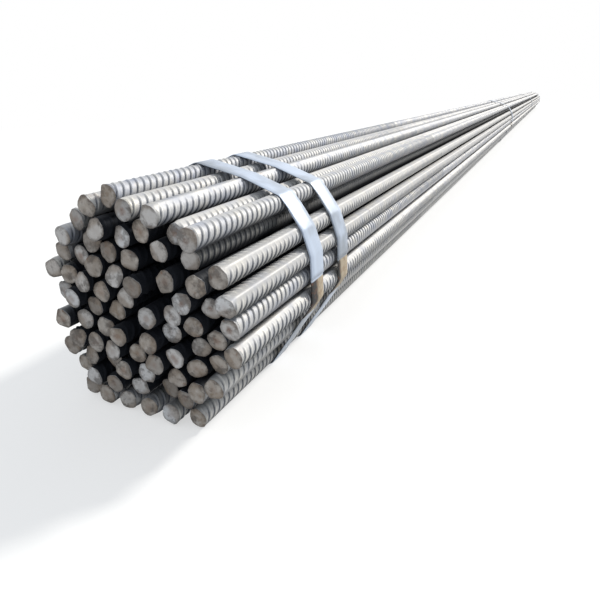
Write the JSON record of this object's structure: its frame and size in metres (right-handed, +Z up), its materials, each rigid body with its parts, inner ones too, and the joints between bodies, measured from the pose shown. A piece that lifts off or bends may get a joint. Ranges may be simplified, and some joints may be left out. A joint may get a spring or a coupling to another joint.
{
  "type": "rebar bundle",
  "caption": "Strapped bundle of straight ribbed steel reinforcing bars lying on the floor, with rough cut ends and flat galvanised steel straps.",
  "frame": {"origin": "bottom centre of the bundle's bounding box, on the floor under the straps", "axes": "+X along the bars, away from the end with the close pair of straps; +Z up"},
  "size_m": [9.0778, 0.2329, 0.2316],
  "materials": {
    "bar_steel": "hot-rolled ribbed steel, weathered grey with light rust on the cut ends",
    "strap_steel": "zinc-coated flat strip, dull bright"
  },
  "bodies": {
    "root": {"bars_layer_01": "bar_steel", "bars_layer_02": "bar_steel", "bars_layer_03": "bar_steel", "bars_layer_04": "bar_steel", "bars_layer_05": "bar_steel", "bars_layer_06": "bar_steel", "bars_layer_07": "bar_steel", "bars_layer_08": "bar_steel", "bars_layer_09": "bar_steel", "bars_layer_10": "bar_steel", "strap_1": "strap_steel", "strap_2": "strap_steel", "strap_3": "strap_steel", "strap_4": "strap_steel", "strap_5": "strap_steel"}
  },
  "joints": []
}
